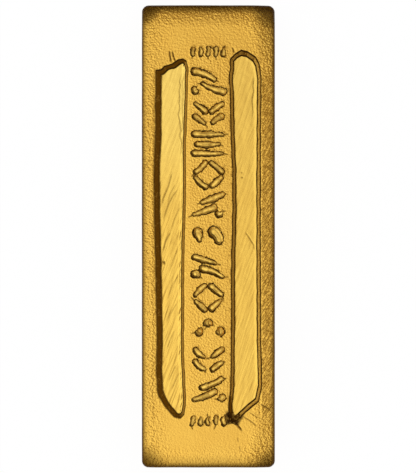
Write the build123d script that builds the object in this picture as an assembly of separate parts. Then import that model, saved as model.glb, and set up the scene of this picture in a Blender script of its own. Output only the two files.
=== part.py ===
from build123d import *
from itertools import cycle, islice
from math import atan2, cos, degrees, pi, radians, sqrt, tan
from typing import NamedTuple
import os

# A small gold bar cast in an open mould and marked by hand. It lies on its underside with the
# mould's open face up: +Z leaves that face, +Y runs along the bar to its head, +X to its right side.
# The origin is the middle of the underside. All sizes are in millimetres, angles in degrees.

# Overall sizes
length = 119.0          # along Y
width = 34.2            # along X
thickness = 12.0        # underside to the highest point of the top face

# Mould
draft_angle = 4.0       # every side leans in towards the underside
rim_height = 3.4        # upright band over the leaning sides, where the metal met the air
plan_corner = 1.7       # radius of the upright corners, seen from above
mould_edge = 1.6        # radius round the underside
top_edge = 0.9          # radius where the metal drew in from the mould wall as it set

# Top face: a low crown that falls away near each edge and corner, most at the head and its right
crown = 0.2             # middle of the face above its rim, before the falls below
head_fall = 1.3
head_fall_run = 7.0
foot_fall = 0.4
foot_fall_run = 4.5
left_fall = 0.2
left_fall_run = 3.0
right_fall = 0.5
right_fall_run = 4.5
head_left_corner_fall = 0.4
head_left_corner_run = 6.0
head_right_corner_fall = 0.6
head_right_corner_run = 8.5
foot_corner_fall = 0.35
foot_corner_run = 5.5

# Troughs: two long flat-bottomed cuts with sloping walls. A wall's run is its width from above.
trough_depth = 1.4
head_wall_run = 1.3
foot_wall_run = 1.2
long_side_bow = 0.25    # cut by hand, so no edge is quite straight: a bow is its height over its chord

# Left trough. A margin is the bare metal between its rim and the bar's edge. Each end comes to a blunt
# tip near the middle of the bar: an inset is the tip's distance from the inner side, and a setback is
# how far a shoulder lies behind the tip.
lt_width = 8.2
lt_side_margin = 3.4
lt_outer_wall_run = 1.85
lt_inner_wall_run = 0.85
lt_head_margin = 13.9
lt_head_inset = 1.4
lt_head_outer_setback = 2.9
lt_head_inner_setback = 2.5
lt_head_bow = 0.2
lt_foot_margin = 12.7
lt_foot_inset = 1.2
lt_foot_outer_setback = 6.6
lt_foot_inner_setback = 1.3
lt_foot_bow = 0.9

# Right trough, in the same way
rt_width = 8.3
rt_side_margin = 3.4
rt_outer_wall_run = 1.3
rt_inner_wall_run = 1.25
rt_head_margin = 11.7
rt_head_inset = 3.2
rt_head_outer_setback = 5.4
rt_head_inner_setback = 6.4
rt_head_bow = 1.2
rt_foot_margin = 11.7
rt_foot_inset = 1.1
rt_foot_outer_setback = 8.9
rt_foot_inner_setback = 1.0
rt_foot_bow = 0.8

# Ornament: rows of short gouges between the troughs, with blunt ends and sloping walls
mark_depth = 0.6
mark_clearance = 1.4    # from the middle of the outermost gouges to the nearer trough's rim
row_margin = 12.0       # least distance from an end of the bar to the middle of a row
row_gap = 0.5           # bare metal between the tallest motifs of two rows

# A motif is drawn in shares of its reach: how far its outermost gouge lies from the bar's middle line
motif_height = 1.85     # of the tallest one
tally_width = 0.3
bar_width = 0.45
leaf_width = 0.4
rung_width = 0.4
lozenge_width = 0.4
bean_width = 0.62
punch_width = 0.6

# Shares of a gouge's width
mark_wall = 0.25        # run of each sloping wall
mark_corner = 0.3       # what each blunted corner takes

# Slip of the chisel at the foot of the right trough, placed from the corner of the trough's rim
slip_inset = 0.5        # towards the bar's right edge
slip_rise = 1.1         # towards its head
slip_length = 1.7
slip_width = 1.9
slip_depth = 1.2

# Construction allowances, which leave no mark on the bar
clear_of_top = 1.0      # how far a cutter stands out of the top face
past_edge = 2.0         # how far the sheet of the top face runs past the bar's edges
stations_across = 12    # spans of the top face's sheet
stations_along = 14


class Tip(NamedTuple):
    """One end of a trough: the place of its tip, its two shoulders, and how far their edges bow out."""
    inset: float
    outer_setback: float
    inner_setback: float
    bow: float


class Trough(NamedTuple):
    """One trough's rim and the runs of its long walls. Side is -1 left and +1 right of the bar's middle."""
    side: int
    width: float
    side_margin: float
    head_margin: float
    foot_margin: float
    head: Tip
    foot: Tip
    outer_run: float
    inner_run: float


left_trough = Trough(
    -1, lt_width, lt_side_margin, lt_head_margin, lt_foot_margin,
    head=Tip(lt_head_inset, lt_head_outer_setback, lt_head_inner_setback, lt_head_bow),
    foot=Tip(lt_foot_inset, lt_foot_outer_setback, lt_foot_inner_setback, lt_foot_bow),
    outer_run=lt_outer_wall_run, inner_run=lt_inner_wall_run,
)
right_trough = Trough(
    1, rt_width, rt_side_margin, rt_head_margin, rt_foot_margin,
    head=Tip(rt_head_inset, rt_head_outer_setback, rt_head_inner_setback, rt_head_bow),
    foot=Tip(rt_foot_inset, rt_foot_outer_setback, rt_foot_inner_setback, rt_foot_bow),
    outer_run=rt_outer_wall_run, inner_run=rt_inner_wall_run,
)


class Gouge(NamedTuple):
    """A short cut: where the middle line of its mouth starts and ends, and how wide the mouth is."""
    start: tuple[float, float]
    end: tuple[float, float]
    width: float


def mirrored(motif):
    """The same gouges with left and right exchanged."""
    return [Gouge((-x0, y0), (-x1, y1), wide) for (x0, y0), (x1, y1), wide in motif]


tally = [Gouge((x, -0.2), (x, 0.2), tally_width) for x in (-1, -0.5, 0, 0.5, 1)]
rising = [
    Gouge((-0.9, -0.6), (0.35, -0.1), bar_width),
    Gouge((-0.4, 0.2), (0.85, 0.7), bar_width),
    Gouge((0.7, -0.55), (0.88, -0.45), bar_width),
]
falling = mirrored(rising)
half_ear = [Gouge((0.25, y), (0.85, y + 0.45), leaf_width) for y in (-0.65, 0.15)]
ear = half_ear + mirrored(half_ear)
rungs = [Gouge((-end, y), (end, y), rung_width) for end, y in ((0.9, -0.6), (0.68, 0), (0.9, 0.6))]
half_lozenge = [Gouge((0.22, side * 0.72), (0.82, side * 0.2), lozenge_width) for side in (-1, 1)]
lozenge = half_lozenge + mirrored(half_lozenge)
beans = [Gouge((-0.58, -0.3), (-0.68, 0.3), bean_width), Gouge((0.4, 0.28), (0.7, -0.28), bean_width)]
punches = [Gouge((x, y), (x + 0.08, y), punch_width) for x, y in ((-0.7, -0.2), (-0.02, 0.3), (0.62, -0.2))]
middle_motifs = [falling, ear, rungs, lozenge, rising, beans, falling, lozenge, punches, ear, rising]
slip = Gouge((slip_inset, slip_rise), (slip_inset + slip_length, slip_rise), slip_width)


def fall(inward, run, depth):
    """How far the top face has dropped at a distance inward from an edge: a parabola that ends level."""
    return depth * (1 - min(inward / run, 1.0)) ** 2


def corner_fall(x, y, side, end, run, depth):
    """The same at a corner, across it. Side is -1 left and +1 right, and end is -1 foot and +1 head."""
    return fall((width / 2 - side * x + length / 2 - end * y) / sqrt(2), run, depth)


def top_height(x, y):
    """Height of the top face over a point of the plan."""
    dome = crown * ((2 * x / width) ** 2 + (2 * y / length) ** 2) / 2
    drops = (
        fall(length / 2 - y, head_fall_run, head_fall)
        + fall(length / 2 + y, foot_fall_run, foot_fall)
        + fall(width / 2 + x, left_fall_run, left_fall)
        + fall(width / 2 - x, right_fall_run, right_fall)
        + corner_fall(x, y, -1, 1, head_left_corner_run, head_left_corner_fall)
        + corner_fall(x, y, 1, 1, head_right_corner_run, head_right_corner_fall)
        + corner_fall(x, y, -1, -1, foot_corner_run, foot_corner_fall)
        + corner_fall(x, y, 1, -1, foot_corner_run, foot_corner_fall)
    )
    return thickness - dome - drops


def stations(half_span, spans):
    """Places from one edge to the other, closest together at the edges, where the face curves most."""
    return [-half_span * cos(pi * step / spans) for step in range(spans + 1)]


def space_over_top():
    """Everything above the top face, as a cutter."""
    rows = [
        [(x, y, top_height(x, y)) for x in stations(width / 2 + past_edge, stations_across)]
        for y in stations(length / 2 + past_edge, stations_along)
    ]
    sheet = Face.make_surface_from_array_of_points(rows, min_deg=3, max_deg=5)
    return extrude(sheet, amount=thickness, dir=(0, 0, 1))


def blank():
    """The bar as it left the mould."""
    side_height = thickness - rim_height
    lean = side_height * tan(radians(draft_angle))
    mouth = Plane.XY.offset(side_height) * RectangleRounded(width, length, plan_corner)
    floor = RectangleRounded(width - 2 * lean, length - 2 * lean, plan_corner)
    body = loft([floor, mouth]) + extrude(mouth, rim_height) - space_over_top()
    body = fillet(body.faces().sort_by(Axis.Z)[-1].edges(), top_edge)
    return fillet(body.faces().sort_by(Axis.Z)[0].edges(), mould_edge)


def trough_section(trough, level):
    """The trough's outline at a level above its floor, grown by the slope of its walls."""
    inset = 1 - level / trough_depth
    rim = width / 2 - trough.side_margin
    outer = rim - trough.outer_run * inset
    inner = rim - trough.width + trough.inner_run * inset
    head = length / 2 - trough.head_margin - head_wall_run * inset
    foot = -length / 2 + trough.foot_margin + foot_wall_run * inset
    corners_and_bows = [
        (outer, foot + trough.foot.outer_setback, long_side_bow),
        (outer, head - trough.head.outer_setback, trough.head.bow),
        (inner + trough.head.inset, head, trough.head.bow),
        (inner, head - trough.head.inner_setback, -long_side_bow),
        (inner, foot + trough.foot.inner_setback, 0),
        (inner + trough.foot.inset, foot, trough.foot.bow),
    ]
    points = [(trough.side * x, y) for x, y, _ in corners_and_bows]
    bows = [bow for _, _, bow in corners_and_bows]
    edges = []
    for start, end, bow in zip(points, points[1:] + points[:1], bows):
        if bow:
            edges.append(SagittaArc(start, end, -trough.side * bow))
        else:
            edges.append(Line(start, end))
    return Plane.XY.offset(thickness - trough_depth + level) * make_face(Wire(edges))


def trough_cutter(trough):
    """A trough's own space, from its floor to clear of the top face."""
    floor = trough_section(trough, 0)
    mouth = trough_section(trough, trough_depth + clear_of_top)
    return loft([floor, mouth], ruled=True)


def gouge_section(gouge, depth, level):
    """A gouge's outline at a level above its floor."""
    middle = (Vector(gouge.start) + Vector(gouge.end)) / 2
    line = Vector(gouge.end) - Vector(gouge.start)
    wide = gouge.width * (1 - 2 * mark_wall * (1 - level / depth))
    outline = Rectangle(line.length + wide, wide, rotation=degrees(atan2(line.Y, line.X)))
    outline = chamfer(outline.vertices(), mark_corner * wide)
    return Plane.XY.offset(thickness - depth + level) * Pos(middle) * outline


def gouge_cutter(gouge, depth):
    """A gouge's own space, from its floor to clear of the top face."""
    floor = gouge_section(gouge, depth, 0)
    mouth = gouge_section(gouge, depth, depth + clear_of_top)
    return loft([floor, mouth], ruled=True)


def scaled(gouge, factor):
    """The same gouge with its places and its width times a factor."""
    (x0, y0), (x1, y1), wide = gouge
    return Gouge((factor * x0, factor * y0), (factor * x1, factor * y1), factor * wide)


def ornament():
    """The cutters of every gouge between the troughs: a tally at each end, and the other motifs in turn."""
    band = min(width / 2 - trough.side_margin - trough.width for trough in (left_trough, right_trough))
    reach = band - mark_clearance
    pitch = motif_height * reach + row_gap
    last = int((length - 2 * row_margin) / pitch)
    rows = [tally, *islice(cycle(middle_motifs), last - 1), tally]
    return [
        Pos(0, (last / 2 - number) * pitch) * gouge_cutter(scaled(gouge, reach), mark_depth)
        for number, motif in enumerate(rows)
        for gouge in motif
    ]


def slip_cutter():
    """The slip's own space, beside the inner corner of the right trough's foot."""
    corner = Pos(width / 2 - rt_side_margin - rt_width, rt_foot_margin - length / 2)
    return corner * gouge_cutter(slip, slip_depth)


def ingot():
    """The whole bar."""
    body = blank() - trough_cutter(left_trough) - trough_cutter(right_trough)
    return body - slip_cutter() - ornament()


os.makedirs("parts", exist_ok=True)
export_step(ingot(), "parts/ingot.step")
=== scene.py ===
"""A small cast gold bar with two hand-cut troughs, seen from straight above.

The bar's shape is worked out in millimetres in its own frame: +Z out of the marked face, +Y towards
its head. Blender's objects are in metres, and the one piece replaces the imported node.
"""

from __future__ import annotations

import itertools
import logging
import math
from dataclasses import astuple, dataclass, field, fields
from enum import Enum
from functools import partial

import bmesh
import bpy
import numpy as np
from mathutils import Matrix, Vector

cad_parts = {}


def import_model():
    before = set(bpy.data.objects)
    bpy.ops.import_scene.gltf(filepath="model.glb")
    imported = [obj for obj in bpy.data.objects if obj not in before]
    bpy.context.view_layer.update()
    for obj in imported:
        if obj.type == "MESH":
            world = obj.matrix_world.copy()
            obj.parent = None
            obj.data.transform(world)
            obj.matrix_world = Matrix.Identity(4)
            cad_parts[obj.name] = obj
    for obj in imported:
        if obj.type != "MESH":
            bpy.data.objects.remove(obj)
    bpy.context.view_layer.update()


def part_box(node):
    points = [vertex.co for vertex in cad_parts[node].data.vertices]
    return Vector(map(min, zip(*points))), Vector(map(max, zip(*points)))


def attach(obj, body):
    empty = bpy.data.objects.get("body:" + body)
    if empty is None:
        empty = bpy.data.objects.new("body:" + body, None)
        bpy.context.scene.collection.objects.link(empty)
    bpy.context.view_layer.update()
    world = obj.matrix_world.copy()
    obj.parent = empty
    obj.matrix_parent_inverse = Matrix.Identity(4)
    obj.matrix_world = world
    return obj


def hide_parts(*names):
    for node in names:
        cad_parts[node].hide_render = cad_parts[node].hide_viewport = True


MM = 0.001
NODE = "ingot"
UPRIGHT = 0.999
log = logging.getLogger("ingot")

Array = np.ndarray
Point = tuple[float, float]


def linear(hex_colour: str) -> tuple[float, float, float, float]:
    """Turns an sRGB hex colour to the linear colour that a socket takes.

    Args:
        hex_colour: Six hex digits after a hash, such as #E2B148.

    Returns:
        Red, green, blue and an alpha of 1.
    """
    shares = [int(hex_colour[i : i + 2], 16) / 255 for i in (1, 3, 5)]
    values = [s / 12.92 if s <= 0.04045 else ((s + 0.055) / 1.055) ** 2.4 for s in shares]
    return (*values, 1.0)


def add_node(
    tree: bpy.types.NodeTree, kind: str, inputs: dict | None = None, **settings: object
) -> bpy.types.Node:
    """Adds a shader node with its settings, values and links.

    Args:
        tree: The node tree that gets it.
        kind: The node's Blender type, such as ShaderNodeMix.
        inputs: Socket name or number to a value, or to the output socket that feeds it.
        settings: The node's own properties.

    Returns:
        The new node.
    """
    node = tree.nodes.new(kind)
    for name, value in settings.items():
        setattr(node, name, value)
    for name, value in (inputs or {}).items():
        socket = node.inputs[name]
        if isinstance(value, bpy.types.NodeSocket):
            tree.links.new(value, socket)
        else:
            socket.default_value = value
    return node


def add_object(name: str, data: bpy.types.ID) -> bpy.types.Object:
    """Makes an object of some data and puts it into the scene."""
    made = bpy.data.objects.new(name, data)
    bpy.context.scene.collection.objects.link(made)
    return made


def ease(share: Array) -> Array:
    """Eases a share from 0 to 1, level at both ends."""
    held = np.clip(share, 0.0, 1.0)
    return held * held * (3.0 - 2.0 * held)


def bell(gap: Array, half_width: float) -> Array:
    """Returns 1 where the gap is 0, fading to nothing on both sides."""
    return np.exp(-((gap / half_width) ** 2))


def nearest(path: list[Point], x: Array, y: Array) -> tuple[Array, Array]:
    """Finds how far points lie from a line of straight runs.

    Args:
        path: The line's points.
        x: Each point's place across the bar.
        y: Its place along the bar.

    Returns:
        Each point's distance from the line, and its share of the way along it.
    """
    runs = [math.dist(a, b) for a, b in zip(path, path[1:])]
    whole = sum(runs)
    gap = np.full(len(x), np.inf)
    share = np.zeros(len(x))
    done = 0.0
    for (x0, y0), (x1, y1), run in zip(path, path[1:], runs):
        t = np.clip(((x - x0) * (x1 - x0) + (y - y0) * (y1 - y0)) / run**2, 0, 1)
        away = np.hypot(x - x0 - t * (x1 - x0), y - y0 - t * (y1 - y0))
        nearer = away < gap
        gap = np.where(nearer, away, gap)
        share = np.where(nearer, (done + t * run) / whole, share)
        done += run
    return gap, share


class GrainNoise:
    """Seeded smooth noise in space, from about -1 to 1."""

    COUNT = 256
    GAIN = 1.6

    def __init__(self, seed: int) -> None:
        """Draws the slopes that the noise runs through.

        Args:
            seed: The same seed gives the same noise.
        """
        rng = np.random.default_rng(seed)
        self.order = np.tile(rng.permutation(self.COUNT), 2)
        slopes = rng.normal(size=(self.COUNT, 3))
        self.slopes = slopes / np.linalg.norm(slopes, axis=1, keepdims=True)

    def at(self, points: Array, size: float | tuple[float, float, float], shift: float = 0) -> Array:
        """Reads the noise at some points.

        Args:
            points: One row of X, Y and Z in millimetres for each.
            size: The width of a bump in millimetres, or one for each axis.
            shift: How far off the points it is read, so that two readings aren't alike.

        Returns:
            One value for each point.
        """
        place = (points + shift) / np.asarray(size)
        cell = np.floor(place).astype(np.int64)
        inside = place - cell
        fade = inside**3 * (inside * (inside * 6 - 15) + 10)
        total = np.zeros(len(points))
        for corner in itertools.product((0, 1), repeat=3):
            key = np.zeros(len(points), dtype=np.int64)
            share = np.ones(len(points))
            for axis, step in enumerate(corner):
                key = self.order[(key + cell[:, axis] + step) % self.COUNT]
                share = share * (fade[:, axis] if step else 1 - fade[:, axis])
            total += share * ((inside - corner) * self.slopes[key]).sum(axis=1)
        return total * self.GAIN


@dataclass
class Relief:
    """What tools left on the top face at some points: how deep, and what the surface there is.

    The wall value is 0 at a cut's rim, 1 at the foot of its wall and below 0 outside every cut. The
    residue value is dark residue together with painted shade, and the line value is how dark the thin
    lines of painted shade there are.
    """

    x: Array
    y: Array
    depth: Array
    worked: Array
    residue_and_shade: Array
    wall: Array
    line: Array

    @classmethod
    def blank(cls, x: Array, y: Array) -> Relief:
        """Returns an untouched face at these points."""
        return cls(x, y, *np.zeros((3, len(x))), np.full(len(x), -1.0), np.zeros(len(x)))

    def near(self, path: list[Point], reach: float) -> Array:
        """Returns the numbers of the points in a box round a line, grown by a reach."""
        low, high = np.min(path, axis=0) - reach, np.max(path, axis=0) + reach
        inside = (self.x > low[0]) & (self.x < high[0]) & (self.y > low[1]) & (self.y < high[1])
        return np.flatnonzero(inside)

    def places(self, where: Array) -> Array:
        """Returns these points as rows of X, Y and 0, as the noise takes them."""
        return np.stack([self.x[where], self.y[where], np.zeros(len(where))], axis=1)

    def deepen(self, where: Array, depth: Array, worked: Array, residue_and_shade: Array) -> None:
        """Cuts deeper where a new cut is the deeper one.

        Args:
            where: Numbers of the points that the cut reaches.
            depth: The cut's depth there, in millimetres.
            worked: 0 for cast skin to 1 for bare cut metal.
            residue_and_shade: How much dark residue and painted shade lies there, 0 for none to about 1.
        """
        deeper = depth > self.depth[where]
        self.worked[where] = np.where(deeper, worked, self.worked[where])
        self.wall[where] = np.where(deeper, -1.0, self.wall[where])
        self.residue_and_shade[where] = np.maximum(np.where(deeper, 0.0, self.residue_and_shade[where]), residue_and_shade)
        self.depth[where] = np.maximum(depth, self.depth[where])

    def edge(self, where: Array, wall: Array, line: Array) -> None:
        """Notes where a cut's wall runs, unless another cut's wall is nearer.

        Args:
            where: Numbers of the points that the cut reaches.
            wall: 0 at the rim to 1 at the wall's foot, and below 0 outside the cut.
            line: How dark its thin lines of painted shade are, 0 for none to about 1.
        """
        nearer = wall > self.wall[where]
        self.line[where] = np.where(nearer, line, self.line[where])
        self.wall[where] = np.where(nearer, wall, self.wall[where])


@dataclass(frozen=True)
class Wall:
    """One side of a trough.

    Its run is its width from above and its cove is how high the floor turns up at its foot, both in
    millimetres. Its ledge, from 0 to 1, is how far it steps half-way down. Its residue is how much
    dark residue and painted shade it holds, and its line is how dark the thin lines of painted shade
    at its rim and foot are, both 0 for none and about 1 for dark. Its rim line is the share of that
    line that its rim gets.
    """

    run: float
    ledge: float = 0.0
    residue_and_shade: float = 1.0
    cove: float = 0.0
    line: float = 1.0
    rim_line: float = 1.0


@dataclass
class Trough:
    """A long flat-bottomed cut with sloping walls.

    Its rim is a closed outline that runs clockwise, seen from above. What its wall is like goes
    smoothly from one compass side to the next. Its rim wobbles in waves of two sizes, and a lip
    stands up just outside it. Lengths are in millimetres.
    """

    rim: list[Point]
    left: Wall
    right: Wall
    head: Wall
    foot: Wall
    seed: int
    depth: float = 1.4
    wobble: float = 0.10
    wobble_sizes: Point = (2.6, 0.9)
    lip: float = 0.06
    lip_gap: float = 0.14
    lip_width: float = 0.13
    cove_run: float = 0.7
    margin: float = 0.8

    def cut(self, relief: Relief) -> None:
        """Cuts the trough into a face."""
        where = relief.near(self.rim, self.margin)
        place = relief.places(where)
        noise = GrainNoise(self.seed)
        long, short = self.wobble_sizes
        px, py = (
            place[:, axis] + self.wobble * (noise.at(place, long, one) + 0.4 * noise.at(place, short, two))
            for axis, one, two in ((0, 0, 50), (1, 20, 70))
        )
        share = np.full(len(where), np.inf)
        gap = np.full(len(where), np.inf)
        inside = np.zeros(len(where), dtype=bool)
        wall = np.zeros((len(where), len(fields(Wall))))
        corners = np.array(self.rim)
        for start, end in zip(corners, np.roll(corners, -1, axis=0)):
            along = end - start
            reach = math.hypot(*along)
            out = np.array([-along[1], along[0]]) / reach
            side = self.right if out[0] > 0 else self.left
            tip = self.head if out[1] > 0 else self.foot
            here = np.array(astuple(side)) * out[0] ** 2 + np.array(astuple(tip)) * out[1] ** 2
            away, _ = nearest([tuple(start), tuple(end)], px, py)
            nearer = away / here[0] < share
            share = np.where(nearer, away / here[0], share)
            gap = np.minimum(gap, away)
            wall[nearer] = here
            crosses = (start[1] > py) != (end[1] > py)
            if start[1] != end[1]:
                at_x = start[0] + (py - start[1]) * along[0] / along[1]
                inside ^= crosses & (px < at_x)
        run, ledge, wall_shade, cove, line, rim_line = wall.T
        across = np.where(inside, share, -share)
        burr = self.lip * np.clip(0.7 + noise.at(place, 1.8, 33), 0, 1.5)
        relief.depth[where] -= np.where(inside, 0.0, burr * bell(gap - self.lip_gap, self.lip_width))
        share = np.where(inside, share, 0.0)
        plain = np.clip(share, 0, 1)
        # A stepped wall drops, runs nearly level over its ledge, and drops again
        stepped = 0.42 * ease(share / 0.36) + 0.14 * np.clip((share - 0.36) / 0.3, 0, 1)
        stepped = stepped + 0.44 * ease((share - 0.66) / 0.34)
        down = plain * (1 - ledge) + stepped * ledge
        floor = 0.03 * noise.at(place, (3.0, 9.0, 1.0), 90) + 0.012 * noise.at(place, 1.3, 95)
        turned_up = cove * ease((share - 0.6) / 0.4) * (1 - ease((share - 1) * run / self.cove_run))
        depth = self.depth * down + ease((share - 1) / 0.3) * floor - turned_up
        # The walls hold dark residue mixed with painted shade, as much as each wall is given
        walls = np.where(inside, ease(share / 0.1) * (1 - ease((share - 0.84) / 0.24)), 0.0)
        uneven = 1 + 0.25 * noise.at(place, (0.5, 2.5, 1.0), 11)
        relief.deepen(where, depth, ease((share - 0.8) / 0.3), np.clip(walls * wall_shade * uneven, 0, 1.3))
        # Thin lines of painted shade run along the rim and the foot of the wall
        line = line * np.where(across < 0.5, rim_line, 1.0) * (1 + 0.25 * noise.at(place, 1.5, 15))
        relief.edge(where, across, np.clip(line, 0, 1.6))


@dataclass
class Gouge:
    """One cut of a chisel: a curved groove, deep where the tool went in and shallow where it left.

    Its half widths are those at its start, middle and end, and its depths those at its two ends. Its
    wall takes up the round share of its half width. Soot together with painted shade darkens all of it,
    and painted shade darkens its lower left side, whose wall faces away from the light; the clean floor
    is the share of both that its floor lacks. The thin lines of painted shade at its rim and at the foot
    of its wall run out over the line reach. Lengths are in millimetres.
    """

    path: list[Point]
    half_widths: tuple[float, float, float]
    depths: Point
    seed: int
    round_share: float = 0.56
    ragged: float = 0.19
    lip: float = 0.1
    lip_gap: float = 0.13
    lip_width: float = 0.12
    wall_shade: float = 0.95
    soot_and_shade: float = 0.04
    clean_floor: float = 1.0
    line: float = 1.05
    line_reach: float = 1.1
    margin: float = 0.9

    def cut(self, relief: Relief) -> None:
        """Cuts the groove into a face."""
        where = relief.near(self.path, max(self.half_widths) + self.margin)
        place = relief.places(where)
        noise = GrainNoise(self.seed)
        gap, t = nearest(self.path, place[:, 0], place[:, 1])
        half = np.interp(t, (0, 0.5, 1), self.half_widths)
        half = half + self.ragged * (noise.at(place, 1.1) + 0.9 * noise.at(place, 0.5, 9))
        inward = half - gap
        deepest = self.depths[0] + (self.depths[1] - self.depths[0]) * t
        deepest = deepest * (1 + 0.25 * noise.at(place, 1.6, 21))
        share = np.clip(inward / (self.round_share * half), 0, 1)
        depth = deepest * (1 - (1 - share) ** 1.8) + 0.03 * share * noise.at(place, 0.7, 41)
        lip = self.lip * np.clip(0.6 + noise.at(place, 0.9, 61), 0, 1.6)
        outside = inward < 0
        relief.depth[where] -= outside * lip * bell(inward + self.lip_gap, self.lip_width)
        run = np.linspace(0, 1, len(self.path))
        spine_x, spine_y = (np.interp(t, run, axis) for axis in np.transpose(self.path))
        # Painted shade darkens the groove's lower left side, whose wall faces away from the light
        shaded_lower_left = ease((spine_x - place[:, 0] + spine_y - place[:, 1]) / half)
        held = (self.soot_and_shade + self.wall_shade * shaded_lower_left) * (1 - self.clean_floor * ease((share - 0.6) / 0.4))
        held = np.clip(held * (1 + 0.5 * noise.at(place, 0.8, 81)), 0, 1.1) * ease(share / 0.1)
        cut = ~outside
        relief.deepen(where[cut], depth[cut], ease((share[cut] - 0.4) / 0.4), held[cut])
        # Thin lines of painted shade along the rim, reaching further on the lower left, and at the wall's
        # foot
        foot_at = self.round_share * half
        rim = inward / (self.line_reach * (1 + 0.5 * shaded_lower_left))
        foot = np.maximum(0.88 + (inward - foot_at) / self.line_reach, 0.6)
        at_rim = inward < foot_at / 2
        part = np.where(at_rim, 1.0, 0.3 + 0.7 * shaded_lower_left)
        line = self.line * (1 + 0.4 * noise.at(place, 0.9, 31)) * part
        relief.edge(where, np.where(at_rim, rim, foot), np.clip(line, 0, 1))


@dataclass(frozen=True)
class Scratch:
    """A fine line along some points: a scratch, a crease or a drag of the tool.

    Its half width and depth are in millimetres, and its tone is how dark it is, 0 for none to about 1.
    """

    path: tuple[Point, ...]
    half_width: float = 0.14
    depth: float = 0.05
    tone: float = 0.35

    def cut(self, relief: Relief) -> None:
        """Draws the line into a face."""
        where = relief.near(list(self.path), 4 * self.half_width)
        gap, t = nearest(list(self.path), relief.x[where], relief.y[where])
        fading = ease(t / 0.15) * ease((1 - t) / 0.3)
        line = bell(gap, self.half_width) * fading
        relief.depth[where] += self.depth * line
        relief.residue_and_shade[where] = np.maximum(relief.residue_and_shade[where], self.tone * line)


class Motif(Enum):
    """The plain ornaments of the middle band. None is a letter or a sign."""

    TALLY = "a row of short upright ovals"
    RISING = "two long slanted strokes and a short one, rising to the right"
    FALLING = "the same, rising to the left"
    EAR = "two pairs of leaning leaves on a bare stem"
    LOZENGE = "four strokes round a bare middle"
    BEANS = "two fat ovals"
    RUNGS = "three level bars"
    PUNCHES = "three round punches"

    def strokes(self) -> list[tuple[Point, Point, float]]:
        """Returns each stroke's two ends and its width, in shares of the ornament's reach."""
        if self is Motif.TALLY:
            return [((x, -0.2), (x, 0.2), 0.3) for x in (-1, -0.5, 0, 0.5, 1)]
        if self in (Motif.RISING, Motif.FALLING):
            m = 1 if self is Motif.RISING else -1
            return [
                ((-0.9 * m, -0.6), (0.35 * m, -0.1), 0.45),
                ((-0.4 * m, 0.2), (0.85 * m, 0.7), 0.45),
                ((0.7 * m, -0.55), (0.88 * m, -0.45), 0.45),
            ]
        if self is Motif.EAR:
            return [((0.25 * m, y), (0.85 * m, y + 0.45), 0.4) for m in (1, -1) for y in (-0.65, 0.15)]
        if self is Motif.LOZENGE:
            return [((0.22 * m, 0.72 * n), (0.82 * m, 0.2 * n), 0.4) for m in (1, -1) for n in (-1, 1)]
        if self is Motif.BEANS:
            return [((-0.58, -0.3), (-0.68, 0.3), 0.62), ((0.4, 0.28), (0.7, -0.28), 0.62)]
        if self is Motif.RUNGS:
            return [((-end, y), (end, y), 0.4) for end, y in ((0.9, -0.6), (0.68, 0.0), (0.9, 0.6))]
        return [((x, y), (x + 0.08, y), 0.6) for x, y in ((-0.7, -0.2), (-0.02, 0.3), (0.62, -0.2))]


@dataclass
class MarkBand:
    """The band of generic tool marks between the troughs, cut by hand along the solid's ornament.

    The first row lies at the head and each further one a pitch below it. Stray and bend are how far
    off a stroke's ends and middle are. The shares are of strokes cut from their far end, creased
    along the floor, and left with a hair burr. Lengths are in millimetres.
    """

    reach: float = 4.0
    head: float = 47.4
    pitch: float = 7.9
    depth: float = 0.52
    stray: float = 0.1
    bend: float = 0.16
    far_end_share: float = 0.4
    creased_share: float = 0.5
    burred_share: float = 0.7
    seed: int = 11
    first_gouge_seed: int = 100
    order: tuple[Motif, ...] = (
        Motif.TALLY, Motif.FALLING, Motif.EAR, Motif.RUNGS, Motif.LOZENGE, Motif.RISING,
        Motif.BEANS, Motif.FALLING, Motif.LOZENGE, Motif.PUNCHES, Motif.EAR, Motif.RISING,
        Motif.TALLY,
    )

    def cuts(self) -> list[Gouge | Scratch]:
        """Returns every mark, a little off its place as a hand leaves it, with the odd hair burr."""
        rng = np.random.default_rng(self.seed)
        found = []
        for row, motif in enumerate(self.order):
            middle = self.head - row * self.pitch
            for start, end, width in motif.strokes():
                ends = self.reach * np.array([start, end]) + rng.normal(0, self.stray, (2, 2)) + [0, middle]
                if rng.random() < self.far_end_share:
                    ends = ends[::-1]
                along = ends[1] - ends[0]
                along = along / np.hypot(*along)
                out = np.array([-along[1], along[0]])
                share = np.linspace(0, 1, 7)[:, None]
                bend = rng.normal(0, self.bend)
                path = ends[0] + (ends[1] - ends[0]) * share + out * bend * 4 * share * (1 - share)
                half = self.reach * width / 2
                widths = half * rng.uniform((0.9, 0.85, 0.45), (1.25, 1.2, 0.95))
                depths = self.depth * math.sqrt(half / 0.8) * rng.uniform((0.9, 0.6), (1.2, 0.95))
                number = self.first_gouge_seed + len(found)
                found.append(Gouge([tuple(p) for p in path], tuple(widths), tuple(depths), number))
                if rng.random() < self.creased_share and motif is not Motif.TALLY:
                    inner = path[1:-1] + out * half * rng.uniform(-0.35, 0.35)
                    found.append(Scratch(tuple(map(tuple, inner)), half_width=0.11, depth=0.07, tone=0.45))
                if rng.random() < self.burred_share:
                    root = ends[1] + along * widths[2] * 0.5
                    tip = root + along * rng.uniform(0.8, 1.6) + out * rng.normal(0, 0.4)
                    burr = (tuple(root), tuple((root + tip) / 2), tuple(tip))
                    found.append(Scratch(burr, half_width=0.15, depth=0.12, tone=1.0))
        return found


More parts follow.
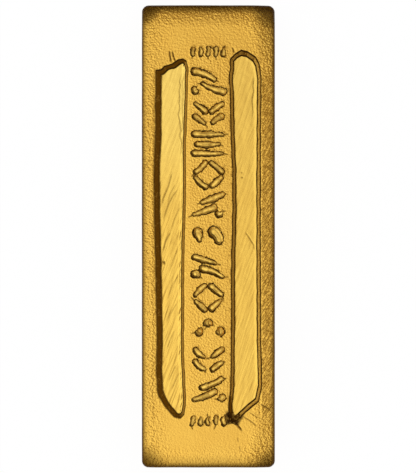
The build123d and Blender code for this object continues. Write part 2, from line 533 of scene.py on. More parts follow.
@dataclass
class CastTop:
    """The open face as it set: a low crown that falls away near each edge and corner.

    Each fall is how far the face drops at that edge, and over what run. The right side falls as a
    plane that sets in softly, and the other sides fall away in a curve. A corner's row is its side,
    its end, its fall and its run.
    """

    length: float
    width: float
    thickness: float
    crown: float = 0.2
    head_fall: Point = (1.3, 6.0)
    foot_fall: Point = (0.45, 4.5)
    left_fall: Point = (0.25, 3.0)
    right_fall: Point = (0.5, 4.3)
    right_softness: float = 0.02
    corner_falls: tuple[tuple[int, int, float, float], ...] = (
        (-1, 1, 0.5, 6.0),
        (1, 1, 0.9, 9.5),
        (-1, -1, 0.45, 5.0),
        (1, -1, 0.5, 6.5),
    )

    def height(self, x: Array, y: Array) -> Array:
        """Returns the face's height over each point of the plan, in millimetres."""
        dome = self.crown * ((2 * x / self.width) ** 2 + (2 * y / self.length) ** 2) / 2
        curved = (
            (self.length / 2 - y, self.head_fall),
            (self.length / 2 + y, self.foot_fall),
            (self.width / 2 + x, self.left_fall),
        )
        drop = sum(fall * (1 - np.clip(gap / run, 0, 1)) ** 2 for gap, (fall, run) in curved)
        fall, run = self.right_fall
        past = 1 - (self.width / 2 - x) / run
        drop = drop + fall * (past + np.sqrt(past**2 + self.right_softness)) / 2
        for side, end, fall, run in self.corner_falls:
            away = np.hypot(x - side * self.width / 2, y - end * self.length / 2)
            drop = drop + fall * (1 - np.clip(away / run, 0, 1)) ** 2
        return self.thickness - dome - drop


@dataclass
class Skin:
    """The bar's closed skin: a top patch, rings down its sides, and an underside patch.

    The corner is the plan's radius, and the edges are the radii round the top face and the underside.
    """

    top: CastTop
    pitch: float = 0.16
    corner: float = 1.7
    top_edge: float = 0.9
    mould_edge: float = 1.6
    foot_corner: float = 0.1
    rim_height: float = 3.4
    draft_angle: float = 4.0
    corner_steps: int = 6
    edge_steps: int = 7
    side_steps: int = 22

    def lines(self, half: float) -> tuple[Array, Array]:
        """Spaces grid lines across the top patch.

        Args:
            half: Half the patch's size along one axis, in millimetres.

        Returns:
            For each line, its share of the straight part and its share of the round corner.
        """
        straight = half - (self.corner - self.top_edge)
        count = round(2 * straight / self.pitch)
        corner = np.arange(1, self.corner_steps + 1) / self.corner_steps
        ends = np.ones(self.corner_steps)
        core = np.concatenate([-ends, np.linspace(-1, 1, count + 1), ends])
        return core, np.concatenate([-corner[::-1], np.zeros(count + 1), corner])

    def __post_init__(self) -> None:
        """Works out the grid that every patch and ring shares."""
        self.half_x, self.half_y = self.top.width / 2, self.top.length / 2
        core_x, corner_x = self.lines(self.half_x - self.top_edge)
        core_y, corner_y = self.lines(self.half_y - self.top_edge)
        self.shape = (len(core_x), len(core_y))
        cx, cy = np.meshgrid(core_x, core_y, indexing="ij")
        ox, oy = np.meshgrid(corner_x, corner_y, indexing="ij")
        self.core = np.stack([cx.ravel(), cy.ravel()], axis=1)
        self.out = np.stack(
            [(ox * np.sqrt(1 - oy**2 / 2)).ravel(), (oy * np.sqrt(1 - ox**2 / 2)).ravel()], axis=1
        )
        number = np.arange(len(self.core)).reshape(self.shape)
        self.border = np.concatenate(
            [number[:-1, 0], number[-1, :-1], number[:0:-1, -1], number[0, :0:-1]]
        )
        quads = [number[:-1, :-1], number[1:, :-1], number[1:, 1:], number[:-1, 1:]]
        self.quads = np.stack([q.ravel() for q in quads], axis=1)

    def plan(self, inset: float, radius: float) -> Array:
        """Returns the grid's points over a round-cornered outline this far inside the widest one."""
        half = np.array([self.half_x - inset - radius, self.half_y - inset - radius])
        return self.core * half + self.out * radius

    def build(self) -> tuple[Array, Array, Array]:
        """Makes the plain skin.

        Returns:
            Points, the outward direction at each, and faces of four point numbers each.
        """
        flat = self.plan(self.top_edge, self.corner - self.top_edge)
        points = [np.column_stack([flat, self.top.height(flat[:, 0], flat[:, 1])])]
        normals = [np.tile([0.0, 0.0, 1.0], (len(flat), 1))]
        faces = [self.quads]
        rim_z = points[0][self.border, 2]
        side_z = self.top.thickness - self.rim_height
        lean = math.tan(math.radians(self.draft_angle))
        rings = []
        for step in range(1, self.edge_steps + 1):
            turn = math.pi / 2 * step / self.edge_steps
            grown = self.top_edge * (1 - math.sin(turn))
            rings.append((grown, self.corner - grown, rim_z - self.top_edge * (1 - math.cos(turn)), turn))
        low_rim = rim_z - self.top_edge
        for share in (1 / 3, 2 / 3, 1.0):
            rings.append((0.0, self.corner, low_rim + (side_z - low_rim) * share, math.pi / 2))
        for step in range(1, self.side_steps + 1):
            z = side_z - (side_z - self.mould_edge) * step / self.side_steps
            rings.append(((side_z - z) * lean, self.corner, z, math.pi / 2))
        foot_inset = side_z * lean
        for step in range(1, self.edge_steps):
            turn = math.pi / 2 * step / self.edge_steps
            inset = foot_inset + self.mould_edge * (1 - math.cos(turn))
            radius = self.corner - (self.corner - self.foot_corner) * (1 - math.cos(turn))
            rings.append((inset, radius, self.mould_edge * (1 - math.sin(turn)), math.pi / 2 + turn))
        out = self.out[self.border]
        count = len(self.border)
        upper = self.border
        start = len(flat)
        for inset, radius, z, turn in rings:
            place = self.plan(inset, radius)[self.border]
            points.append(np.column_stack([place, np.broadcast_to(z, count)]))
            normals.append(np.column_stack([out * math.sin(turn), np.full(count, math.cos(turn))]))
            lower = np.arange(start, start + count)
            faces.append(np.stack([upper, lower, np.roll(lower, -1), np.roll(upper, -1)], axis=1))
            upper = lower
            start += count
        base = self.plan(foot_inset + self.mould_edge, self.foot_corner)
        points.append(np.column_stack([base, np.zeros(len(base))]))
        normals.append(np.tile([0.0, 0.0, -1.0], (len(base), 1)))
        faces.append(self.quads[:, ::-1] + start)
        lower = self.border + start
        faces.append(np.stack([upper, lower, np.roll(lower, -1), np.roll(upper, -1)], axis=1))
        return np.concatenate(points), np.concatenate(normals), np.concatenate(faces)


@dataclass(frozen=True)
class CastGold:
    """Fine gold as cast and then cut by hand.

    The cast skin is satin, with a fine pebbled grain that is coarsest near the mould wall. Cut metal is
    smoother and paler, and palest where a painted sheen lightens it. The walls of the cuts hold a dark
    brown residue, which isn't metal, mixed with painted shade, and the soot colour paints shade into the
    thin lines along their rims and feet. A dark colour paints shade over the rim of the face. The line
    places are those of the two lines across a wall, and the line edges how far from there a line is
    full and gone. Drags and hatching are drawn-out grain of a width and a length. Where the grain
    lies between the pore grain's two values, its pores hold from more to less of the residue.
    """

    skin: str = "#ECBC53"
    skin_deep: str = "#E4B049"
    cut: str = "#ECC259"
    cut_deep: str = "#E4B650"
    painted_sheen: str = "#F2CD67"
    painted_edge_shade: str = "#472D05"
    residue_and_shade: str = "#5C3901"
    soot_and_shade: str = "#321C00"
    roughness: float = 0.34
    cut_roughness: float = 0.27
    residue_roughness: float = 0.6
    residue_shine: float = 0.05
    line_places: Point = (0.05, 0.88)
    line_edges: Point = (0.09, 0.2)
    broad_mm: float = 6.0
    grain_mm: float = 0.5
    grain_deep_mm: float = 0.3
    pore_grain: Point = (0.35, 0.65)
    pore_residue: Point = (1.2, 0.85)
    drag_mm: Point = (0.8, 6.0)
    drag_turn: float = 20.0
    hatch_mm: Point = (0.34, 2.6)
    hatch_turn: float = 38.0

    def build(self) -> bpy.types.Material:
        """Returns the material. It reads what the mesh's attributes say of each point's surface."""
        material = bpy.data.materials.new("gold_as_cast_and_cut")
        material.use_nodes = True
        tree = material.node_tree
        tree.nodes.clear()
        add = partial(add_node, tree)
        place = add("ShaderNodeTexCoord").outputs["Object"]
        worked, painted_sheen, residue_and_shade, pebble, hatch, drag, wall, line, painted_edge_shade = (
            add("ShaderNodeAttribute", attribute_name=name).outputs["Fac"]
            for name in (
                "worked", "painted_sheen", "residue_and_shade", "pebble", "hatch", "drag", "wall", "line", "painted_edge_shade"
            )
        )
        grain = add(
            "ShaderNodeTexNoise",
            {"Vector": place, "Scale": 1 / (self.grain_mm * MM), "Detail": 1.0, "Roughness": 0.5},
        ).outputs["Fac"]
        hatching = self.drawn_out(tree, place, self.hatch_turn, self.hatch_mm)
        dragging = self.drawn_out(tree, place, self.drag_turn, self.drag_mm)
        broad = add(
            "ShaderNodeTexNoise", {"Vector": place, "Scale": 1 / (self.broad_mm * MM), "Detail": 2.0}
        ).outputs["Fac"]
        # Thin lines of painted shade along the rims and feet of the walls
        lines = 0.0
        full, gone = self.line_edges
        for middle in self.line_places:
            away = add("ShaderNodeMath", {0: wall, 1: middle}, operation="SUBTRACT").outputs["Value"]
            gap = add("ShaderNodeMath", {0: away}, operation="ABSOLUTE").outputs["Value"]
            here = add(
                "ShaderNodeMapRange",
                {"Value": gap, "From Min": full, "From Max": gone, "To Min": 1.0, "To Max": 0.0},
                interpolation_type="SMOOTHSTEP",
            ).outputs["Result"]
            lines = add("ShaderNodeMath", {0: here, 1: lines}, operation="MAXIMUM").outputs["Value"]
        lines = add(
            "ShaderNodeMath", {0: lines, 1: line}, operation="MULTIPLY", use_clamp=True
        ).outputs["Value"]
        low, high = self.pore_grain
        more, less = self.pore_residue
        in_pores = add(
            "ShaderNodeMapRange",
            {"Value": grain, "From Min": low, "From Max": high, "To Min": more, "To Max": less},
        ).outputs["Result"]
        residue_and_shade = add(
            "ShaderNodeMath", {0: residue_and_shade, 1: in_pores}, operation="MULTIPLY", use_clamp=True
        ).outputs["Value"]
        skin, bare = (
            add(
                "ShaderNodeMix", {0: broad, 6: linear(deep), 7: linear(pale)}, data_type="RGBA"
            ).outputs[2]
            for deep, pale in ((self.skin_deep, self.skin), (self.cut_deep, self.cut))
        )
        metal = add("ShaderNodeMix", {0: worked, 6: skin, 7: bare}, data_type="RGBA").outputs[2]
        # A painted sheen lightens the metal; painted rim shade, residue with painted shade and the lines of
        # painted shade darken it
        for share, colour in (
            (painted_sheen, self.painted_sheen),
            (painted_edge_shade, self.painted_edge_shade),
            (residue_and_shade, self.residue_and_shade),
            (lines, self.soot_and_shade),
        ):
            metal = add(
                "ShaderNodeMix", {0: share, 6: metal, 7: linear(colour)}, data_type="RGBA"
            ).outputs[2]
        dirt_and_shade = add("ShaderNodeMath", {0: residue_and_shade, 1: lines}, operation="MAXIMUM").outputs["Value"]
        clean = add(
            "ShaderNodeMapRange",
            {"Value": worked, "To Min": self.roughness, "To Max": self.cut_roughness},
        ).outputs["Result"]
        rough = add(
            "ShaderNodeMapRange", {"Value": dirt_and_shade, "To Min": clean, "To Max": self.residue_roughness}
        ).outputs["Result"]
        bare_share = add(
            "ShaderNodeMapRange", {"Value": dirt_and_shade, "To Min": 1.0, "To Max": 0.0}
        ).outputs["Result"]
        height = add("ShaderNodeMath", {0: grain, 1: pebble}, operation="MULTIPLY").outputs["Value"]
        for pattern, amount in ((hatching, hatch), (dragging, drag)):
            height = add(
                "ShaderNodeMath", {0: pattern, 1: amount, 2: height}, operation="MULTIPLY_ADD"
            ).outputs["Value"]
        bump = add(
            "ShaderNodeBump", {"Height": height, "Distance": self.grain_deep_mm * MM}
        ).outputs["Normal"]
        shader = add(
            "ShaderNodeBsdfPrincipled",
            {
                "Base Color": metal,
                "Metallic": bare_share,
                "Roughness": rough,
                "Specular IOR Level": self.residue_shine,
                "Normal": bump,
            },
        )
        add("ShaderNodeOutputMaterial", {"Surface": shader.outputs["BSDF"]})
        return material

    @staticmethod
    def drawn_out(
        tree: bpy.types.NodeTree, place: bpy.types.NodeSocket, turn: float, size: Point
    ) -> bpy.types.NodeSocket:
        """Makes noise that is drawn out into lines.

        Args:
            tree: The material's node tree.
            place: The socket that gives the place.
            turn: The lines' turn from the Y axis, in degrees.
            size: The width and the length of a line, in millimetres.

        Returns:
            The noise's socket, from 0 to 1.
        """
        turned = add_node(
            tree, "ShaderNodeMapping", {"Vector": place, "Rotation": (0.0, 0.0, math.radians(turn))}
        ).outputs["Vector"]
        across, along = size
        scaled = add_node(
            tree,
            "ShaderNodeMapping",
            {"Vector": turned, "Scale": (1 / (across * MM), 1 / (along * MM), 1 / (across * MM))},
        ).outputs["Vector"]
        noise = add_node(tree, "ShaderNodeTexNoise", {"Vector": scaled, "Scale": 1.0, "Detail": 1.0})
        return noise.outputs["Fac"]


# The rims and scratches lie about where the photograph has them, in millimetres from the middle.
# Each rim runs clockwise. Each scratch has half its width, its depth, its tone and its points.
LEFT_RIM: list[Point] = [
    (-13.6, 42.7), (-12.1, 42.8), (-11.3, 43.6), (-9.2, 44.3), (-7.8, 45.3), (-6.5, 45.6),
    (-5.6, 45.0), (-5.2, 43.1), (-5.4, 34.0), (-5.8, 23.0), (-5.8, 9.0), (-6.2, -3.0),
    (-6.3, -30.0), (-5.8, -41.0), (-5.8, -43.2), (-6.2, -45.8), (-7.2, -46.8), (-8.9, -46.4),
    (-10.7, -44.4), (-12.8, -41.2), (-13.2, -39.6), (-13.5, -34.0), (-13.3, -26.8), (-13.5, -16.0),
    (-13.7, -6.1), (-14.0, 6.0), (-14.1, 18.0), (-13.7, 26.0), (-13.7, 35.1),
]
RIGHT_RIM: list[Point] = [
    (5.3, 41.4), (5.6, 43.2), (5.6, 45.6), (6.9, 46.9), (8.4, 47.8), (10.1, 47.4), (12.2, 45.9),
    (13.1, 44.2), (13.6, 40.5), (13.5, 33.9), (13.4, 14.5), (13.4, -6.1), (13.5, -26.8),
    (13.8, -38.4), (12.9, -42.4), (9.9, -44.9), (8.5, -46.2), (7.6, -47.2), (6.0, -47.9),
    (5.3, -47.2), (5.2, -43.3), (5.75, -38.4), (5.88, -24.0), (5.88, -6.1), (6.25, 6.0), (6.2, 17.0),
    (5.8, 25.0), (5.6, 35.1),
]
SCRATCHES: tuple[Scratch, ...] = tuple(
    Scratch(tuple(points), half_width, depth, tone)
    for half_width, depth, tone, *points in (
        # Creases along the inner walls of both floors, where the metal folded over
        (0.12, 0.05, 0.6, (-6.6, 42.9), (-7.2, 40.9), (-7.4, 39.9), (-7.1, 38.9), (-7.5, 37.4),
         (-7.3, 35.6), (-7.5, 34.2), (-7.3, 32.9), (-7.7, 31.3), (-7.3, 29.6), (-7.1, 27.4),
         (-7.3, 25.8), (-6.9, 24.0), (-7.2, 21.4), (-7.0, 18.0)),
        (0.14, 0.03, 0.35, (-6.2, 42.0), (-6.7, 40.0), (-6.6, 37.0), (-6.8, 33.0), (-6.6, 29.0),
         (-6.5, 25.0)),
        (0.12, 0.06, 0.7, (11.8, 41.5), (11.5, 38.7), (11.7, 37.4), (11.3, 35.1), (11.5, 32.0),
         (11.1, 29.0)),
        (0.15, 0.07, 0.45, (9.4, 1.3), (10.6, -0.4), (11.7, -2.2), (12.0, -4.2)),
        # Drags of the scraper across the left floor
        (0.17, 0.07, 0.5, (-9.2, 16.8), (-10.2, 13.0), (-11.5, 9.8), (-12.0, 7.0)),
        (0.17, 0.07, 0.5, (-7.6, 12.4), (-9.1, 10.4), (-10.2, 8.2), (-11.3, 5.0), (-11.6, 3.0)),
        (0.13, 0.05, 0.3, (-8.4, 13.6), (-9.8, 10.8), (-10.6, 8.0)),
        (0.15, 0.04, 0.25, (-7.0, 8.0), (-8.4, 5.0), (-9.6, 1.0)),
        (0.16, 0.07, 0.5, (-9.6, 1.2), (-11.0, -1.4), (-11.7, -4.4)),
        (0.14, 0.05, 0.3, (-7.6, -3.0), (-9.0, -6.0), (-10.2, -9.5)),
        (0.15, 0.05, 0.3, (-7.4, -9.6), (-9.2, -12.6), (-10.6, -16.4)),
        (0.14, 0.05, 0.3, (-8.0, -17.0), (-9.6, -19.8), (-11.0, -22.8)),
        (0.15, 0.05, 0.35, (-8.6, -24.0), (-9.6, -26.2), (-10.8, -29.4)),
        (0.15, 0.05, 0.35, (-8.2, -33.0), (-9.4, -35.4), (-10.4, -37.6)),
        (0.14, 0.05, 0.3, (-7.4, -35.0), (-8.6, -37.6), (-9.4, -39.6)),
        # Painted shade darkening the left wall of the right trough towards the dig
        (0.42, 0.02, 1.4, (5.7, -40.5), (5.6, -43.0), (5.75, -45.0), (6.0, -46.6), (6.1, -47.6)),
        # Pits
        (0.22, 0.16, 0.9, (-11.5, -6.3), (-11.2, -7.3)),
        (0.18, 0.10, 0.5, (8.6, 16.6), (8.7, 16.2)),
        (0.22, 0.12, 0.6, (8.7, 15.4), (8.8, 14.9)),
        (0.16, 0.08, 0.4, (4.1, 18.4), (4.7, 18.0)),
        # Hair burrs over the head of the left trough and beside the right one
        (0.17, 0.14, 1.3, (-10.0, 47.8), (-9.8, 46.0), (-9.4, 44.3)),
        (0.17, 0.14, 1.3, (-9.3, 47.7), (-8.9, 46.0), (-8.3, 44.6)),
        (0.16, 0.12, 1.1, (6.1, 48.6), (6.5, 47.6), (6.6, 46.8)),
        # Scratches beyond the foot of the right trough, and the crack at its tip
        (0.16, 0.10, 1.0, (13.3, -43.0), (15.0, -44.0), (16.5, -45.1)),
        (0.14, 0.08, 0.6, (8.8, -46.2), (10.6, -47.2), (12.8, -48.9)),
        (0.13, 0.06, 0.5, (10.2, -45.0), (12.6, -46.4), (15.4, -47.6)),
        (0.2, 0.18, 1.3, (6.4, -47.2), (7.7, -48.7), (8.9, -50.2)),
        (0.14, 0.05, 0.3, (7.6, -51.6), (7.8, -53.0)),
        (0.14, 0.05, 0.3, (8.0, -53.8), (8.4, -55.4)),
        # Diagonal scratches on the margins
        (0.13, 0.05, 0.3, (-16.6, 17.6), (-15.4, 19.2), (-14.4, 20.2)),
        (0.13, 0.05, 0.3, (-16.4, 15.9), (-15.2, 17.6)),
        (0.13, 0.05, 0.3, (-16.7, 30.8), (-15.0, 32.6)),
        (0.15, 0.06, 0.4, (11.2, 54.6), (12.8, 52.4), (14.4, 50.0)),
    )
)


@dataclass
class Ingot:
    """The gold bar: its skin, grain, troughs and marks, made as one closed piece.

    Lengths are in millimetres. A cut deeper than the skin's depth leaves no cast skin. The grain is
    coarser by the edge grain at the rim, over the edge's run, and coarser again over the corner's
    run. Hatched is how strongly the left and the right margin are. The marks lie within their half
    width of the middle line, and only a share of their metal shows as worked and gets the painted sheen.
    """

    length: float
    width: float
    thickness: float
    most_triangles: int = 190_000
    seed: int = 5
    skin_depth: float = 0.2
    flat_grain: float = 0.33
    edge_grain: float = 0.75
    edge_run: float = 7.0
    corner_run: float = 12.0
    most_grain: float = 2.2
    hatched: Point = (0.45, 1.9)
    marks_half: float = 5.1
    marks_worked: float = 0.4
    marks_sheen: float = 0.3
    finish: CastGold = field(default_factory=CastGold)

    def __post_init__(self) -> None:
        """Sets out what is cast and what is cut."""
        self.skin = Skin(CastTop(self.length, self.width, self.thickness))
        # Each wall's residue and line numbers set how much painted shade, with residue, darkens the wall
        # and its lines
        self.troughs = [
            Trough(
                LEFT_RIM,
                left=Wall(1.62, residue_and_shade=1.1, line=0.45),
                right=Wall(0.78, residue_and_shade=0.52, cove=0.35, line=1.1, rim_line=0.65),
                head=Wall(1.1, ledge=0.2, residue_and_shade=1.2, line=1.4),
                foot=Wall(1.1, residue_and_shade=1.1, line=0.7),
                seed=21,
            ),
            Trough(
                RIGHT_RIM,
                left=Wall(0.97, ledge=0.45, residue_and_shade=0.55, line=1.1),
                right=Wall(1.05, ledge=1.0, residue_and_shade=0.36, cove=0.09),
                head=Wall(1.35, ledge=0.5, residue_and_shade=0.9, line=1.5),
                foot=Wall(1.2, ledge=0.9, residue_and_shade=0.22, line=1.4),
                seed=22,
            ),
        ]
        self.cuts = [*MarkBand().cuts(), self.dig()]

    @staticmethod
    def dig() -> Gouge:
        """Returns the ragged deep dig at the foot of the right trough."""
        path = [(5.9, -46.0), (6.3, -46.7), (6.9, -46.7), (7.7, -46.0)]
        return Gouge(
            path,
            half_widths=(0.85, 0.95, 0.5),
            depths=(1.5, 1.3),
            seed=77,
            ragged=0.3,
            # Soot with painted shade darkens the whole dig, a deep hollow
            soot_and_shade=0.9,
            clean_floor=0.0,
            line_reach=8.0,
        )

    def relief(self, x: Array, y: Array) -> Relief:
        """Returns what the tools cut at some points of the top face."""
        found = Relief.blank(x, y)
        for cut in (*self.troughs, *self.cuts, *SCRATCHES):
            cut.cut(found)
        return found

    def undulation(self, points: Array, cut: Array) -> Array:
        """Returns how far the cast surface rises and sinks in slow waves, in millimetres.

        Args:
            points: Points of the skin.
            cut: 1 where a tool took the cast skin off.
        """
        noise = GrainNoise(self.seed)
        waves = 0.004 * noise.at(points, 1.5, 17) + 0.02 * noise.at(points, 7.0, 43)
        return waves * (1 - 0.85 * cut)

    def build(self) -> bpy.types.Object:
        """Makes the bar.

        Returns:
            One closed mesh object under its triangle limit, with its finish on.
        """
        points, normals, faces = self.skin.build()
        on_top = normals[:, 2] > UPRIGHT
        depth = np.zeros(len(points))
        depth[on_top] = self.relief(points[on_top, 0], points[on_top, 1]).depth
        lift = self.undulation(points, np.clip(depth / self.skin_depth, 0, 1)) - depth
        under = normals[:, 2] < -UPRIGHT
        lift[under] = np.minimum(lift[under], 0)
        points = points + normals * lift[:, None]
        points[:, 2] = np.maximum(points[:, 2], 0)
        mesh = bpy.data.meshes.new("ingot_dense")
        mesh.from_pydata(points * MM, [], faces)
        mesh.update()
        dense = add_object("ingot_dense", mesh)
        thin = dense.modifiers.new("thin_out", "DECIMATE")
        thin.ratio = self.most_triangles / (2 * len(faces))
        thin.use_collapse_triangulate = True
        seen = dense.evaluated_get(bpy.context.evaluated_depsgraph_get())
        final = bpy.data.meshes.new_from_object(seen)
        final.name = "gold_bar"
        bpy.data.objects.remove(dense)
        bar = add_object("gold_bar", final)
        final.shade_smooth()
        self.mark_surfaces(final)
        final.materials.clear()
        final.materials.append(self.finish.build())
        return bar

    def painted_edge_shade(self, x: Array, y: Array) -> Array:
        """Returns how much painted shade darkens the rim at each point of the plan, 0 for none to 1.

        Each side darkens towards its edge over its own run, the head by far the widest, and the
        corners darken most.
        """
        right, head = self.width / 2 - x, self.length / 2 - y
        left, foot = self.width / 2 + x, self.length / 2 + y
        # How far in each point is, then how dark the zone gets, its run, and how sharply it ends
        zones = (
            (head, 1.0, 2.5, 1.6),
            (foot, 1.0, 1.45, 1.2),
            (foot, 0.5, 3.5, 1.0),
            (left, 1.0, 1.1, 1.0),
            (left, 0.3, 2.2, 1.0),
            (right, 1.0, 1.1, 1.1),
            (right, 0.15, 1.6, 1.0),
            (np.hypot(left, head), 0.76, 5.4, 4.8),
            (np.hypot(left, head / 3), 0.25, 3.2, 1.5),
            (np.hypot(right, head), 0.78, 6.8, 3.4),
            (np.hypot(right, head / 3.5), 0.48, 5.0, 1.5),
            (np.hypot(left, foot), 0.93, 6.4, 1.8),
            (np.hypot(right, foot), 0.82, 5.5, 2.1),
        )
        clean = np.ones(len(x))
        for gap, strength, run, power in zones:
            clean = clean * (1 - strength * np.clip(1 - np.abs(gap / run) ** power, 0, 1))
        return 1 - clean

    def pebble(self, x: Array, y: Array, right_margin: Array) -> Array:
        """Returns how coarse the cast grain is: most near the mould wall, at the corners and right."""
        from_side, from_end = self.width / 2 - np.abs(x), self.length / 2 - np.abs(y)
        corner = 1 - ease(np.hypot(from_side, from_end) / self.corner_run)
        coarse = (0.4 + 1.1 * ease(x / 8)) * corner
        calm_foot = 0.35 * ease((-39 - y) / 5) * ease((12 - np.abs(x)) / 3)
        edge = 1 - ease(np.minimum(from_side, from_end) / self.edge_run)
        grain = self.flat_grain + self.edge_grain * edge + coarse
        grain = np.clip(grain, 0, self.most_grain) * (1 - calm_foot)
        between = (1 - ease((np.abs(x) - 4.5) / 1.0)) * (1 - ease((np.abs(y) - 46) / 4.0))
        return grain * (1 - 0.6 * right_margin) * (1 + 0.2 * ease((x - 8) / 4)) + 0.2 * between

    def mark_surfaces(self, mesh: bpy.types.Mesh) -> None:
        """Stores on each point what its surface is like, for the finish to read."""
        flat = np.empty(3 * len(mesh.vertices))
        mesh.vertices.foreach_get("co", flat)
        points = flat.reshape(-1, 3) / MM
        x, y = points[:, 0], points[:, 1]
        upper = points[:, 2] > self.thickness / 2
        found = self.relief(x, y)
        worked = np.where(upper, found.worked, 0.0)
        # The margins beside the troughs are hatched, the left one less
        right_margin = ease((x - 13.3) / 0.6) * ease((43 - y) / 4) * ease((y + 50) / 6)
        left_margin = ease((-13.9 - x) / 0.6) * ease((44 - y) / 6) * ease((y + 50) / 6)
        left_hatched, right_hatched = self.hatched
        pebble = self.pebble(x, y, right_margin)
        inward = np.minimum(self.width / 2 - np.abs(x), self.length / 2 - np.abs(y))
        below_rim = self.skin.top.height(x, y) - points[:, 2]
        near_top = ease((2.6 - below_rim) / 1.5)
        # Painted shade darkens the rim of the face, and on the sides only near the top
        rim = self.painted_edge_shade(x, y) * np.where(worked > 0, 1.0, near_top)
        # Painted shade darkens the last of the face to a line, on the left less, and not at the head
        painted_edge_line = np.where(x > 0, 1.0, 0.7) * ease((0.5 - inward) / 0.45) * near_top
        painted_edge_line = painted_edge_line * (1 - ease((y - 48) / 8))
        # A painted sheen lightens the floors towards their head ends, the left floor most, and of the marks
        # only a share is bare and gets the sheen
        painted_sheen = worked * np.where(x < 0, 1.0, 0.25) * ease((y - 2) / 30)
        in_marks = np.abs(x) < self.marks_half
        painted_sheen = np.where(in_marks, self.marks_sheen * worked, painted_sheen)
        worked = np.where(in_marks, self.marks_worked * worked, worked)
        drag_left = 0.34 + 0.6 * ease((20 - y) / 30)
        drag_right = 0.36 + 0.12 * ease((5 - y) / 20)
        layers = {
            "worked": worked,
            "painted_sheen": painted_sheen,
            # Residue with painted shade, and the line of painted shade at the face's edge
            "residue_and_shade": np.where(upper, np.maximum(found.residue_and_shade, painted_edge_line), 0.0),
            "pebble": pebble * (1 - 0.9 * np.clip(found.worked, 0, 1)),
            "hatch": np.where(upper, right_hatched * right_margin + left_hatched * left_margin, 0.0),
            "drag": np.where(upper, worked * np.where(x < 0, drag_left, drag_right), 0.0),
            "wall": np.where(upper, found.wall, -1.0),
            "line": np.where(upper, found.line, 0.0),
            "painted_edge_shade": np.where(upper, rim, 0.0),
        }
        for name, values in layers.items():
            layer = mesh.attributes.new(name, "FLOAT", "POINT")
            layer.data.foreach_set("value", values.astype(np.float32))


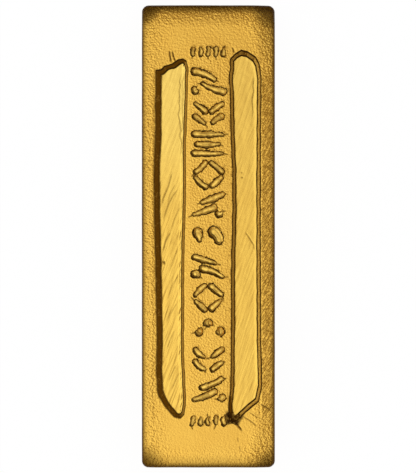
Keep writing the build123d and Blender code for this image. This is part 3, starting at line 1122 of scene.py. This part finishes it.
@dataclass
class Studio:
    """A white table, even white light, a graded tent that the metal reflects, and the camera.

    The table's half is half its side in metres, and its own white is the share that it gives off
    itself. The tent's radius is in metres. The bar is widest at a share of its thickness.
    """

    photo_px: tuple[int, int] = (416, 473)
    bar_middle_px: Point = (208.4, 236.25)
    bar_length_px: float = 461.5
    focal_mm: float = 100.0
    sensor_high_mm: float = 24.0
    widest_at: float = 0.8
    table_half: float = 4.0
    table_own_white: float = 0.95
    tent_radius: float = 1.5
    bright_side: tuple[float, float, float] = (-0.55, -0.35, 0.76)
    tent_glow: float = 1.66
    tent_shades: tuple[tuple[float, str], ...] = (
        (0.00, "#8A7A60"),
        (0.15, "#3C2C12"),
        (0.27, "#685C44"),
        (0.50, "#A79F95"),
        (0.76, "#D5D5D5"),
        (1.00, "#F4FAFF"),
    )

    def build(self, length: float, thickness: float) -> None:
        """Sets up everything that isn't part of the bar.

        Args:
            length: The bar's length, which gives the camera its distance, in millimetres.
            thickness: The bar's thickness.
        """
        self.light_world()
        self.lay_table()
        self.pitch_tent()
        self.place_camera(length, thickness)

    def light_world(self) -> None:
        """Gives the world one even white."""
        world = bpy.data.worlds.new("studio_white")
        world.use_nodes = True
        world.node_tree.nodes["Background"].inputs["Color"].default_value = linear("#FFFFFF")
        world.node_tree.nodes["Background"].inputs["Strength"].default_value = 1.0
        bpy.context.scene.world = world

    def lay_table(self) -> None:
        """Lays the white table under the bar. Most of its white is its own, so the shadow is faint."""
        half = self.table_half
        corners = [(-half, -half, 0), (half, -half, 0), (half, half, 0), (-half, half, 0)]
        mesh = bpy.data.meshes.new("table")
        mesh.from_pydata(corners, [], [(0, 1, 2, 3)])
        material = bpy.data.materials.new("table_matt")
        material.use_nodes = True
        tree = material.node_tree
        matt = tree.nodes["Principled BSDF"]
        matt.inputs["Base Color"].default_value = linear("#FFFFFF")
        matt.inputs["Roughness"].default_value = 0.9
        matt.inputs["Specular IOR Level"].default_value = 0.1
        rays = add_node(tree, "ShaderNodeLightPath").outputs
        seen = rays["Is Camera Ray"]
        for other in ("Is Glossy Ray", "Is Transmission Ray"):
            seen = add_node(
                tree, "ShaderNodeMath", {0: seen, 1: rays[other]}, operation="MAXIMUM"
            ).outputs["Value"]
        share = add_node(
            tree, "ShaderNodeMath", {0: seen, 1: self.table_own_white}, operation="MULTIPLY"
        ).outputs["Value"]
        own = add_node(tree, "ShaderNodeEmission", {"Color": linear("#FFFFFF"), "Strength": 1.0})
        mixed = add_node(
            tree,
            "ShaderNodeMixShader",
            {0: share, 1: matt.outputs["BSDF"], 2: own.outputs["Emission"]},
        )
        tree.links.new(mixed.outputs["Shader"], tree.nodes["Material Output"].inputs["Surface"])
        mesh.materials.append(material)
        table = add_object("table", mesh)

    def pitch_tent(self) -> None:
        """Pitches a tent that the metal reflects: white to the lower left, brown to the upper right."""
        shell = bmesh.new()
        bmesh.ops.create_icosphere(shell, subdivisions=5, radius=self.tent_radius)
        mesh = bpy.data.meshes.new("tent")
        shell.to_mesh(mesh)
        shell.free()
        material = bpy.data.materials.new("tent_glow")
        material.use_nodes = True
        tree = material.node_tree
        tree.nodes.clear()
        place = add_node(tree, "ShaderNodeTexCoord").outputs["Object"]
        facing = add_node(
            tree, "ShaderNodeVectorMath", {0: place, 1: self.bright_side}, operation="DOT_PRODUCT"
        ).outputs["Value"]
        share = add_node(
            tree, "ShaderNodeMath", {0: facing, 1: self.tent_radius}, operation="DIVIDE"
        ).outputs["Value"]
        shades = add_node(tree, "ShaderNodeValToRGB", {"Fac": share})
        ramp = shades.color_ramp
        for number, (stop, colour) in enumerate(self.tent_shades):
            element = ramp.elements[number] if number < 2 else ramp.elements.new(stop)
            element.position = stop
            element.color = linear(colour)
        light = add_node(
            tree, "ShaderNodeEmission", {"Color": shades.outputs["Color"], "Strength": self.tent_glow}
        )
        add_node(tree, "ShaderNodeOutputMaterial", {"Surface": light.outputs["Emission"]})
        material.cycles.emission_sampling = "NONE"
        mesh.materials.append(material)
        tent = add_object("tent", mesh)
        tent.visible_camera = False
        tent.visible_diffuse = False
        tent.visible_shadow = False

    def place_camera(self, length: float, thickness: float) -> None:
        """Looks straight down, at the distance that gives the bar its length in the photograph."""
        data = bpy.data.cameras.new("camera")
        data.sensor_fit = "VERTICAL"
        data.sensor_height = self.sensor_high_mm
        data.lens = self.focal_mm
        mm_per_px = length / self.bar_length_px
        distance = mm_per_px * self.photo_px[1] * self.focal_mm / self.sensor_high_mm
        camera = add_object("camera", data)
        across = (self.photo_px[0] / 2 - self.bar_middle_px[0]) * mm_per_px
        along = (self.bar_middle_px[1] - self.photo_px[1] / 2) * mm_per_px
        camera.location = (across * MM, along * MM, (distance + self.widest_at * thickness) * MM)
        bpy.context.scene.camera = camera


def main() -> None:
    """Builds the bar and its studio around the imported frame."""
    logging.basicConfig(level=logging.INFO, format="%(name)s: %(message)s")
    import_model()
    low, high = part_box(NODE)
    width, length, thickness = ((high[i] - low[i]) / MM for i in range(3))
    bar = Ingot(length, width, thickness).build()
    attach(bar, "root")
    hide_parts(NODE)
    log.info("gold_bar: %d triangles", len(bar.data.polygons))
    Studio().build(length, thickness)
    scene = bpy.context.scene
    scene.view_settings.view_transform = "Standard"


if __name__ == "__main__":
    main()
